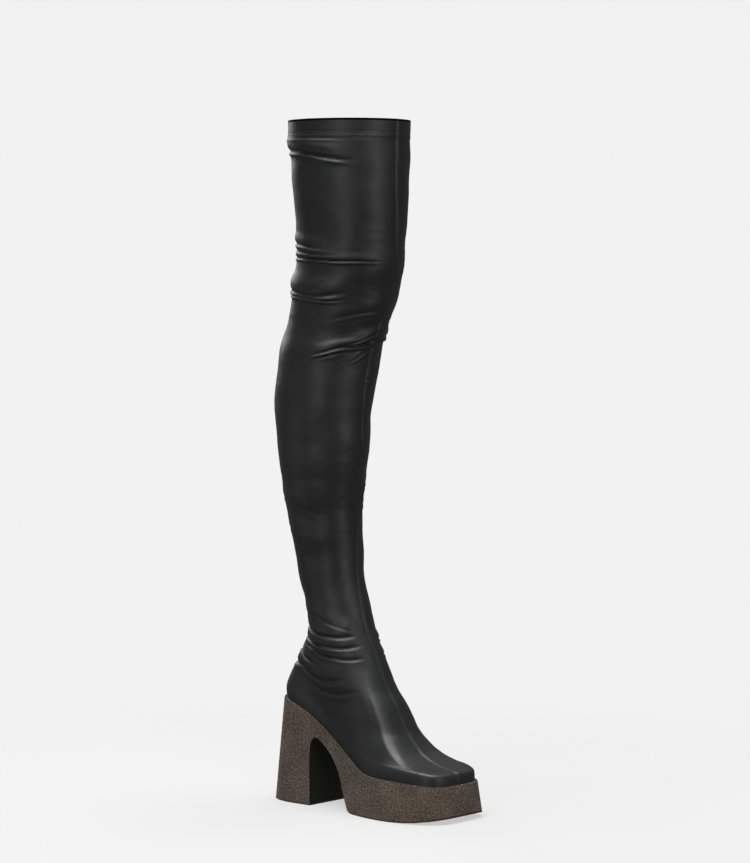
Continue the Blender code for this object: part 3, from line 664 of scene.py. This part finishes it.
def gridNormals(grid):
    around = np.roll(grid, -1, 1) - np.roll(grid, 1, 1)
    along = np.empty_like(grid)
    along[1:-1] = grid[2:] - grid[:-2]
    along[0] = grid[1] - grid[0]
    along[-1] = grid[-1] - grid[-2]
    return unit(np.cross(around, along))


# Creases: places as degrees around the leg, 0 in front and -90 outside, and millimetres up.
# A fold is a roll above its line, a sharp dip at the line and a lip below it
foldRow = namedtuple("foldRow", "name roll dip lip width line")
foldTable = [foldRow(*row) for row in (
    ("underHem", 0.0, 0.30, 0.55, 6.0, ((-170, 745), (-131, 744), (-76, 742), (-45, 740))),
    ("thighTop", 2.3, 1.1, 1.2, 9.0,
     ((-215, 737), (-160, 731), (-138, 730), (-104, 727), (-69, 720), (-40, 716))),
    ("thighTopUpper", 0.7, 0.45, 0.45, 5.0, ((-108, 733), (-85, 730), (-56, 725))),
    ("thighMid", 1.9, 1.0, 1.0, 6.5, ((-218, 633), (-165, 630), (-136, 628), (-109, 625), (-72, 620))),
    ("thighMidSecond", 1.1, 0.8, 0.7, 4.2, ((-160, 623), (-127, 619), (-94, 616), (-58, 614))),
    ("thighMidLong", 1.3, 1.0, 1.2, 4.4,
     ((-232, 619), (-180, 614), (-129, 612), (-93, 610), (-61, 608), (-38, 608), (-8, 607))),
    ("kneeBack", 2.6, 1.1, 1.0, 10.0,
     ((-238, 571), (-200, 578), (-150, 578), (-131, 576), (-100, 572), (-77, 570), (-42, 574))),
    ("kneeBackLower", 0.9, 0.9, 1.1, 4.2,
     ((-225, 566), (-180, 573), (-122, 570), (-93, 567), (-74, 565), (-42, 565))),
    ("kneeFront", 2.3, 1.4, 1.8, 6.0,
     ((92, 540), (60, 531), (39, 525), (2, 520), (-20, 515), (-40, 513), (-58, 508), (-78, 503))),
    ("kneeFrontUpper", 1.3, 1.0, 1.0, 4.4,
     ((48, 545), (24, 539), (8, 532), (-9, 525), (-27, 518), (-50, 513))),
    ("kneeSoft", 0.8, 0.5, 0.3, 8.0, ((12, 556), (-4, 554), (-27, 551), (-66, 543))),
    ("kneeUnder", 0.7, 0.45, 0.5, 4.0, ((6, 514), (-6, 509), (-21, 499), (-30, 496))),
    ("kneeUnderSide", 0.7, 0.5, 0.5, 4.4, ((-26, 510), (-39, 507), (-68, 500))),
    ("kneeInner", 1.2, 0.8, 0.8, 6.5, ((38, 556), (70, 549), (100, 545), (128, 549))),
    ("kneeInnerLower", 1.0, 0.6, 0.6, 6.0, ((40, 508), (66, 502), (92, 503))),
    ("shinTop", 0.9, 0.55, 0.5, 5.0, ((44, 490), (27, 484), (4, 478), (-6, 475))),
    ("shinMiddle", 0.6, 0.4, 0.4, 5.0, ((48, 395), (37, 391), (11, 382), (2, 378))),
    ("shinSlant", 1.0, 0.9, 1.2, 4.2, ((50, 367), (37, 362), (26, 350), (12, 340))),
    ("shinSlantLower", 0.8, 0.7, 0.8, 4.0, ((52, 343), (39, 338), (21, 329), (12, 325))),
    ("calfSoft", 0.7, 0.30, 0.25, 9.0, ((-190, 348), (-140, 346), (-121, 343), (-89, 334), (-45, 326))),
    ("calfSoftLower", 0.5, 0.2, 0.2, 9.0, ((-160, 312), (-114, 309), (-66, 305))),
    ("calfInner", 0.9, 0.45, 0.35, 9.0, ((36, 446), (80, 434), (122, 438), (150, 444))),
    ("calfInnerLower", 0.8, 0.4, 0.3, 9.0, ((44, 406), (90, 394), (135, 398))),
    ("ankleSoft", 0.9, 0.4, 0.3, 7.0,
     ((-170, 216), (-105, 213), (-89, 210), (-62, 204), (-42, 200), (-14, 197))),
    ("ankleTop", 1.6, 1.4, 0.25, 8.0,
     ((-240, 199), (-200, 206), (-150, 202), (-108, 195), (-81, 192), (-48, 191), (-16, 195))),
    ("ankleSecond", 1.2, 1.6, 0.30, 6.6,
     ((-236, 184), (-195, 191), (-142, 187), (-110, 182), (-78, 180), (-50, 179), (-29, 181), (-12, 184))),
    ("ankleThird", 1.2, 1.6, 0.25, 7.0,
     ((-150, 181), (-122, 177), (-95, 171), (-64, 168), (-39, 167), (-10, 170))),
    ("ankleBack", 1.2, 1.6, 0.40, 8.0, ((-232, 168), (-195, 175), (-158, 172), (-142, 165), (-108, 159))),
    ("heelTop", 1.9, 1.2, 0.35, 10.0,
     ((-215, 150), (-180, 158), (-150, 156), (-136, 149), (-120, 144), (-73, 141), (-36, 146))),
    ("heelSide", 1.6, 1.1, 0.35, 9.5, ((-124, 134), (-85, 129), (-56, 128), (-24, 135))),
    ("instepInner", 1.3, 0.9, 0.7, 5.0, ((-4, 186), (20, 188), (58, 184), (88, 190))),
    ("instepInnerLower", 1.0, 0.7, 0.6, 5.0, ((2, 173), (30, 170), (68, 173))),
)]

foldShape = {
    "taper": 30, "shortTaper": 0.42, "leastWidth": 1.15, "leastLipPlace": 1.7,
    "rollSize": 1.15, "rollPlace": 0.85, "dipSize": 1.45, "dipWidth": 0.22,
    "lipSize": 1.35, "lipPlace": 0.40, "lipWidth": 0.24,
}


def legMiddle(z):
    s = bootSizes
    heights = [s["ankleHeight"]] + [mix(s["ankleHeight"], s["height"], row.height) for row in shaftTable]
    middles = [s["ankleX"]] + [s["ankleX"] + s["calfSway"] * row.sway for row in shaftTable]
    sides = [0.0] + [s["sideSway"] * row.side for row in shaftTable]
    return np.interp(z, heights, middles), np.interp(z, heights, sides)


# How far the creases lift each point, in millimetres
def foldHeights(points):
    middleX, middleY = legMiddle(points[..., 2])
    angle = np.degrees(np.arctan2(points[..., 1] - middleY, points[..., 0] - middleX))
    radius = np.hypot(points[..., 1] - middleY, points[..., 0] - middleX) / millimetre
    height = points[..., 2] / millimetre
    total = np.zeros_like(angle)
    s = foldShape
    for row in foldTable:
        line = sorted(row.line)
        places = [place for place, _ in line]
        levels = [level for _, level in line]
        width = row.width
        dipWidth = max(s["dipWidth"] * width, s["leastWidth"])
        lipWidth = max(s["lipWidth"] * width, s["leastWidth"])
        lipPlace = max(s["lipPlace"] * width, s["leastLipPlace"] * s["leastWidth"])
        taper = min(s["taper"] / (places[-1] - places[0]), s["shortTaper"])
        for shift in (0, -360):
            at = angle + shift
            inside = (at > places[0]) & (at < places[-1])
            if not inside.any():
                continue
            level = smoothCurve(places, levels, at)
            slope = (smoothCurve(places, levels, at + 1) - smoothCurve(places, levels, at - 1)) / 2
            steep = slope / np.maximum(radius * math.radians(1), 0.1)
            away = (height - level) / np.sqrt(1 + steep * steep)
            share = (at - places[0]) / (places[-1] - places[0])
            fade = softStep(share, 0, taper) * softStep(1 - share, 0, taper)
            roll = s["rollSize"] * row.roll * np.exp(-((away - s["rollPlace"] * width) / width) ** 2)
            dip = s["dipSize"] * row.dip * np.exp(-(away / dipWidth) ** 2)
            lip = s["lipSize"] * row.lip * np.exp(-((away + lipPlace) / lipWidth) ** 2)
            total += np.where(inside, fade * (roll - dip + lip), 0)
    return total


softness = {
    "wave": 1.5, "waveSize": 0.042, "waveTall": 1.6, "ripple": 0.16, "rippleSize": 0.013, "rippleTall": 2.4,
    "footFade": (2, 8), "hemFade": (0.012, 0.030), "zipFade": (4, 12),
    "pucker": 0.70, "puckerLength": 13, "puckerDrift": 0.37, "puckerPlace": 9, "puckerWidth": 5,
}


# Slow waves of the slack leather, in millimetres
def softHeights(points, v):
    s = softness
    flat = points.reshape(-1, 3)
    wave = np.empty(len(flat))
    for k, (x, y, z) in enumerate(flat):
        slow = noise.noise(Vector((x, y, z * s["waveTall"])) / s["waveSize"])
        spot = Vector((x, y, z * s["rippleTall"])) / s["rippleSize"]
        quick = noise.noise(spot + Vector((7, 3, 1)))
        wave[k] = s["wave"] * slow + s["ripple"] * quick
    wave = wave.reshape(points.shape[:2]) * softStep(v, *s["footFade"])[:, None]
    return wave * softStep(bootSizes["height"] - points[..., 2], *s["hemFade"])


# 1 along the zip's opening and 0 past its ends
def zipReach(v, z):
    low = softStep(v, bootSizes["zipBottomRing"] - 0.12, bootSizes["zipBottomRing"] - 0.02)
    high = 1 - softStep(z, bootSizes["zipTop"], bootSizes["zipTop"] + 0.0012)
    return low * high


hemBand = {
    "width": 19.0, "step": 3.2, "rise": 0.6, "stitchRows": (14.2, 16.6),
    "stitchDip": 0.34, "stitchWidth": 0.9, "edgeRoll": 0.45,
    "edgeRings": ((0.22, 0.30), (0.9, 0.45), (1.58, 0.30)), "shadeRings": 3,
}
foldsFadeIn = (1.2, 3.0)


# The lift of the whole wall: creases and waves, calm at the zip, and the puckers beside it
def wallLift(v, base, reach):
    s = softness
    aside = np.linalg.norm(base - zipPoints(v), axis=-1) / millimetre
    calm = 1 - reach * (1 - softStep(aside, *s["zipFade"]))
    turns = base[..., 2] / millimetre * 2 * math.pi / s["puckerLength"]
    swing = np.sin(turns + np.sin(turns * s["puckerDrift"]) * 2)
    beside = np.exp(-((aside - s["puckerPlace"]) / s["puckerWidth"]) ** 2)
    slack = foldHeights(base) * softStep(v, *foldsFadeIn)[:, None] + softHeights(base, v)
    return slack * calm + s["pucker"] * swing * beside * reach


# The front seam's ridge, with a groove along its middle
def seamLift(v, base, seamDistance):
    s = seamProfile
    seam = s["rise"] * (1 - softStep(seamDistance, s["half"], s["half"] + s["slope"]))
    seam *= mix(1, s["thighShare"], softStep(base[..., 2], *s["thighFade"]))
    seam -= s["groove"] * np.exp(-(seamDistance / s["grooveWidth"]) ** 2)
    return seam * softStep(v, *s["start"])[:, None]


# The raised band under the collar, dented along its stitch rows
def bandLift(base):
    s = hemBand
    fromTop = (bootSizes["height"] - base[..., 2]) / millimetre
    band = s["rise"] * (1 - softStep(fromTop, s["width"], s["width"] + s["step"]))
    for row in s["stitchRows"]:
        band -= s["stitchDip"] * np.exp(-((fromTop - row) / s["stitchWidth"]) ** 2)
    return band


# A piece from points and faces, with its faces turned outward
def makePiece(name, points, faces, materials, smooth=True):
    mesh = bpy.data.meshes.new(name)
    mesh.from_pydata([tuple(point) for point in points], [], faces)
    for material in materials:
        mesh.materials.append(material)
    mesh.polygons.foreach_set("use_smooth", [smooth] * len(faces))
    shape = bmesh.new()
    shape.from_mesh(mesh)
    bmesh.ops.recalc_face_normals(shape, faces=shape.faces)
    shape.to_mesh(mesh)
    shape.free()
    piece = bpy.data.objects.new(name, mesh)
    bpy.context.scene.collection.objects.link(piece)
    return piece


def makeUpper():
    v, base, seamDistance, zipDistance = upperGrid()
    normals = gridNormals(base)
    reach = zipReach(v[:, None], base[..., 2])
    shared = wallLift(v, base, reach)
    inZip = 1 - softStep(zipDistance, zipOpening["depthStart"], zipOpening["depthEnd"])
    slot = zipOpening["floor"] * inZip * reach
    lift = shared + seamLift(v, base, seamDistance) + bandLift(base) - slot
    outer = base + normals * (lift * millimetre)[..., None]
    wall = bootSizes["wall"] / millimetre
    inner = base + normals * ((shared - wall) * millimetre)[..., None]
    inner = inner[list(range(len(v) - 1, 0, -meshFineness["innerStep"])) + [0]]
    # Rounded edge at the collar
    top = bootSizes["height"] - hemBand["edgeRoll"] * millimetre
    outer[-1, :, 2] -= bootSizes["height"] - top
    rim = []
    for inward, rise in hemBand["edgeRings"]:
        out = hemBand["rise"] * (1 - inward / wall)
        ring = base[-1] + normals[-1] * (out - inward) * millimetre
        ring[:, 2] = top + rise * millimetre
        rim.append(ring)
    inner[0, :, 2] = top
    grid = np.concatenate([outer, np.array(rim), inner])
    rings, columns = grid.shape[:2]
    faces, slots = [], []
    # The top outer rings and the rounded rim take the near-black painted collar shade, and the rings inside
    # take the lining
    edgeStart, edgeEnd = len(outer) - hemBand["shadeRings"], len(outer) + len(rim)
    for j in range(rings):
        low = j * columns
        high = ((j + 1) % rings) * columns
        for i in range(columns):
            n = (i + 1) % columns
            faces.append((low + i, low + n, high + n, high + i))
            slots.append(0 if j < edgeStart else 2 if j < edgeEnd else 1)
    upper = makePiece("bootUpper", grid.reshape(-1, 3), faces, (leather, lining, collarEdgeShade))
    upper.data.polygons.foreach_set("material_index", slots)
    print("upper triangles", 2 * len(faces))
    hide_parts("upper")
    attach(upper, "boot")
    return v, base, outer, gridNormals(outer), zipDistance


ringPlace, plainGrid, upperSurface, upperNormals, zipDistances = makeUpper()
print("upper ready")


# Stitching

stitchShape = {
    "sides": 6, "arch": 0.55,
    "profile": ((0.0, 0.35), (0.16, 0.9), (0.5, 1.0), (0.84, 0.9), (1.0, 0.35)),
}


# Short rounded stitches, each a start, an end and the way out of the leather
def stitchMesh(name, stitches, thickness, material):
    sides, profile = stitchShape["sides"], stitchShape["profile"]
    last = (len(profile) - 1) * sides
    points, faces = [], []
    for start, end, out in stitches:
        run = end - start
        across = unit(np.cross(run, out))
        first = len(points)
        for share, size in profile:
            arch = math.sin(share * math.pi) * thickness * stitchShape["arch"]
            for k in range(sides):
                turn = 2 * math.pi * k / sides
                ring = across * math.cos(turn) + out * math.sin(turn)
                points.append(start + run * share + out * arch + ring * (thickness / 2 * size))
        for low in range(first, first + last, sides):
            for k in range(sides):
                n = (k + 1) % sides
                faces.append((low + k, low + n, low + sides + n, low + sides + k))
        faces.append(tuple(first + k for k in reversed(range(sides))))
        faces.append(tuple(first + last + k for k in range(sides)))
    piece = makePiece(name, points, faces, (material,))
    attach(piece, "boot")


# Distance travelled along a line at each of its points
def travel(path):
    return np.concatenate([[0], np.cumsum(np.linalg.norm(np.diff(path, axis=0), axis=1))])


# The value of a field of points at a distance along its line
def fieldAt(at, along, field):
    return np.array([np.interp(at, along, field[:, axis]) for axis in range(3)])


# Stitches along a line of points, with a space between them
def runStitches(path, outs, length, space):
    along = travel(path)
    result = []
    for k in range(int(along[-1] / (length + space))):
        low = k * (length + space)
        out = fieldAt(low + length / 2, along, outs)
        ends = fieldAt(low, along, path), fieldAt(low + length, along, path)
        result.append((*ends, unit(out)))
    return result


hemStitches = {"length": 0.0021, "space": 0.0009, "thread": 0.00042}


# The upper's surface at a distance under its edge
def hemLine(fromTop):
    height = bootSizes["height"] - fromTop * millimetre
    j = int(np.argmin(np.abs(plainGrid[:, 0, 2] - height)))
    around = [*range(plainGrid.shape[1]), 0]
    return upperSurface[j, around], upperNormals[j, around]


def makeHemStitches():
    stitches = []
    for row in hemBand["stitchRows"]:
        path, outs = hemLine(row)
        stitches += runStitches(path, outs, hemStitches["length"], hemStitches["space"])
    stitchMesh("hemStitching", stitches, hemStitches["thread"], thread)


makeHemStitches()

zigzag = {"length": 2.1, "height": 1.7, "thread": 0.00044,
          "rows": ((14.8, -38, -18), (17.6, -42, -15), (20.4, -46, -17), (23.0, -44, -24))}


# Rows of zigzag stitches hold the band on the outer front
def makeZigzag():
    stitches = []
    for row, start, end in zigzag["rows"]:
        path, outs = hemLine(row)
        lower, _ = hemLine(row + zigzag["height"])
        middleX, middleY = legMiddle(path[:, 2])
        angle = np.degrees(np.arctan2(path[:, 1] - middleY, path[:, 0] - middleX))
        keep = (angle > start) & (angle < end)
        path, lower, outs = path[keep], lower[keep], outs[keep]
        along = travel(path) / millimetre
        for k in range(int(along[-1] / zigzag["length"])):
            low, high = k * zigzag["length"], (k + 1) * zigzag["length"]
            first, second = (path, lower) if k % 2 else (lower, path)
            out = fieldAt(low, along, outs)
            ends = fieldAt(low, along, first), fieldAt(high, along, second)
            stitches.append((*ends, unit(out)))
    stitchMesh("collarZigzag", stitches, zigzag["thread"], zigzagThread)


makeZigzag()


# One of the two columns of the surface at a distance from the zip, between two heights
def columnBesideZip(distance, pick, low, high):
    i = np.flatnonzero(np.isclose(zipDistances[0], distance))[pick]
    keep = (plainGrid[:, i, 2] > low) & (plainGrid[:, i, 2] < high)
    return upperSurface[keep, i], upperNormals[keep, i]


zipStitches = {
    "length": 0.0024, "space": 0.0008, "thread": 0.0004, "fromZip": 5.5, "low": 0.112, "past": 0.004,
}


def makeZipStitches():
    stitches = []
    for pick in (0, -1):
        high = bootSizes["zipTop"] + zipStitches["past"]
        path, outs = columnBesideZip(zipStitches["fromZip"], pick, zipStitches["low"], high)
        stitches += runStitches(path, outs, zipStitches["length"], zipStitches["space"])
    stitchMesh("zipStitching", stitches, zipStitches["thread"], thread)


makeZipStitches()
print("stitches ready")


# Zip: woven tape with a nylon coil

zipCoil = {
    "tapeHalf": 0.0030, "tapeFace": -0.0005, "tapeBack": -0.0015, "pitch": 0.00115, "toothLong": 0.0019,
    "toothHalf": 0.00036, "overlap": 0.0004, "top": 0.00040, "besideSteps": 3,
}


# The zip's middle line, with the ways across it and out of the leather
def zipFrames():
    line = zipPoints(ringPlace)[:, 0]
    keep = (ringPlace >= bootSizes["zipBottomRing"]) & (line[:, 2] <= bootSizes["zipTop"] - zipCoil["top"])
    v = ringPlace[keep]
    step = zipStep(v) * zipCoil["besideSteps"]
    back = zipPoints(v, -step)[:, 0]
    front = zipPoints(v, step)[:, 0]
    across = unit(back - front)
    out = unit(np.cross(across, unit(np.gradient(line[keep], axis=0))))
    return (back + front) / 2, across, np.where(out[:, 1:2] < 0, -out, out)


def makeZipTape(middle, across, out):
    s = zipCoil
    section = [(-s["tapeHalf"], s["tapeBack"]), (s["tapeHalf"], s["tapeBack"]),
               (s["tapeHalf"], s["tapeFace"]), (-s["tapeHalf"], s["tapeFace"])]
    points = [middle[k] + across[k] * u + out[k] * w for k in range(len(middle)) for u, w in section]
    count = len(section)
    faces = [tuple(range(count)), tuple(range(len(points) - 1, len(points) - count - 1, -1))]
    for low in range(0, len(points) - count, count):
        for k in range(count):
            n = (k + 1) % count
            faces.append((low + k, low + count + k, low + count + n, low + n))
    piece = makePiece("zipTape", points, faces, (tape,), smooth=False)
    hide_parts("zip")
    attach(piece, "boot")


# Teeth reach over the middle from one side and the other in turn
def makeZipTeeth(middle, across, out):
    s = zipCoil
    along = travel(middle)
    teeth = []
    for k in range(int(along[-1] / (s["pitch"] / 2))):
        at = k * s["pitch"] / 2
        place, way, off = [fieldAt(at, along, field) for field in (middle, across, out)]
        side = 1 if k % 2 else -1
        height = off * (s["top"] - s["toothHalf"])
        root = place + way * side * (s["toothLong"] - s["overlap"]) + height - off * s["overlap"]
        teeth.append((root, place - way * side * s["overlap"] + height, off))
    stitchMesh("zipTeeth", teeth, s["toothHalf"] * 2, thread)


zipLine = zipFrames()
makeZipTape(*zipLine)
makeZipTeeth(*zipLine)
print("zip ready")


# Material and width of the rounded edges, for the solids that show as they are

solidLook = {
    "sole": (crepe, 0.0005), "insole": (insoleLeather, 0.0008),
    "zip_slider": (nickel, 0.00022), "zip_pull": (nickel, 0.00018),
}
for node, (material, width) in solidLook.items():
    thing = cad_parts[node]
    thing.data.materials.clear()
    thing.data.materials.append(material)
    rounding = thing.modifiers.new("edges", "BEVEL")
    rounding.width = width
    rounding.segments = 2
    rounding.limit_method = "ANGLE"
print("solids painted")


# Floor, backdrop and studio light

studio = {
    "background": 0.888, "floor": (0.17, 0.17, 0.17), "floorGlow": 0.540, "fill": 0.15, "radius": 9.0,
    "fadeStart": 0.30, "fadeEnd": 0.95, "legAim": (0.06, 0, 0.36), "footAim": (0.10, 0, 0.10),
    "vampAim": (0.12, 0, 0.08),
}

# Turn is degrees to the right of the camera, as seen from the boot
lightRow = namedtuple("lightRow", "name turn rise distance width height power aim")
lightTable = [lightRow(*row) for row in (
    ("frontStrip", -20, 4, 3.4, 1.15, 2.0, 15, "legAim"),
    ("sideStrip", 50, 6, 3.0, 0.9, 2.0, 17, "legAim"),
    ("highFront", -8, 52, 3.0, 2.4, 1.2, 44, "legAim"),
    ("vampGleam", -50, 64, 2.6, 1.3, 0.8, 20, "vampAim"),
    ("overhead", 12, 94, 2.6, 2.2, 1.3, 125, "legAim"),
    ("footFill", -75, 4, 1.0, 0.7, 0.3, 0.45, "footAim"),
    ("backEdge", -148, 24, 3.2, 1.0, 1.8, 26, "legAim"),
)]


def addSoftBox(row):
    data = bpy.data.lights.new(row.name, "AREA")
    data.shape = "RECTANGLE"
    data.size = row.width
    data.size_y = row.height
    data.energy = row.power
    light = bpy.data.objects.new(row.name, data)
    bpy.context.scene.collection.objects.link(light)
    turn = math.radians(cameraView["turn"] + row.turn)
    rise = math.radians(row.rise)
    way = Vector((math.sin(turn) * math.cos(rise), -math.cos(turn) * math.cos(rise), math.sin(rise)))
    light.location = Vector(studio[row.aim]) + way * row.distance
    light.visible_camera = False
    light.rotation_euler = way.to_track_quat("Z", "Y").to_euler()


def makeWorld():
    world = bpy.data.worlds.new("studio")
    world.use_nodes = True
    setInputs(world.node_tree.nodes["Background"], {"Color": (1, 1, 1, 1), "Strength": studio["fill"]})
    bpy.context.scene.world = world


# A large round piece of the studio with a glowing material
def addStage(name, makeShape, sizes, materialName, colour, glow):
    mesh = bpy.data.meshes.new(name)
    shape = bmesh.new()
    makeShape(shape, radius=studio["radius"], **sizes)
    shape.to_mesh(mesh)
    shape.free()
    thing = bpy.data.objects.new(name, mesh)
    material, tree, shader = newMaterial(materialName)
    setInputs(shader, {"Base Color": (*colour, 1), "Specular IOR Level": 0.0,
                       "Emission Color": (1, 1, 1, 1), "Emission Strength": glow})
    mesh.materials.append(material)
    bpy.context.scene.collection.objects.link(thing)
    thing.visible_glossy = False
    return thing, tree, shader


# The floor fades out toward its edge
def makeFloor():
    floor, tree, shader = addStage("floor", bmesh.ops.create_circle, {"cap_ends": True, "segments": 64},
                                   "paleFloor", studio["floor"], studio["floorGlow"])
    shader.inputs["Roughness"].default_value = 0.9
    spot = tree.nodes.new("ShaderNodeTexCoord")
    reach = addNode(tree, "ShaderNodeVectorMath", operation="LENGTH")
    tree.links.new(spot.outputs["Object"], reach.inputs[0])
    fade = addNode(tree, "ShaderNodeMapRange", interpolation_type="SMOOTHSTEP")
    setInputs(fade, {"From Min": studio["fadeStart"], "From Max": studio["fadeEnd"],
                     "To Min": 1.0, "To Max": 0.0})
    tree.links.new(reach.outputs["Value"], fade.inputs["Value"])
    tree.links.new(fade.outputs["Result"], shader.inputs["Alpha"])


def makeBackdrop():
    dome, _, _ = addStage("backdrop", bmesh.ops.create_uvsphere, {"u_segments": 48, "v_segments": 24},
                          "backdropGlow", (0, 0, 0), studio["background"])
    dome.visible_diffuse = False
    dome.visible_transmission = False
    dome.visible_shadow = False


makeWorld()
makeFloor()
makeBackdrop()
for row in lightTable:
    addSoftBox(row)
bpy.context.scene.view_settings.view_transform = "Standard"
print("studio ready")
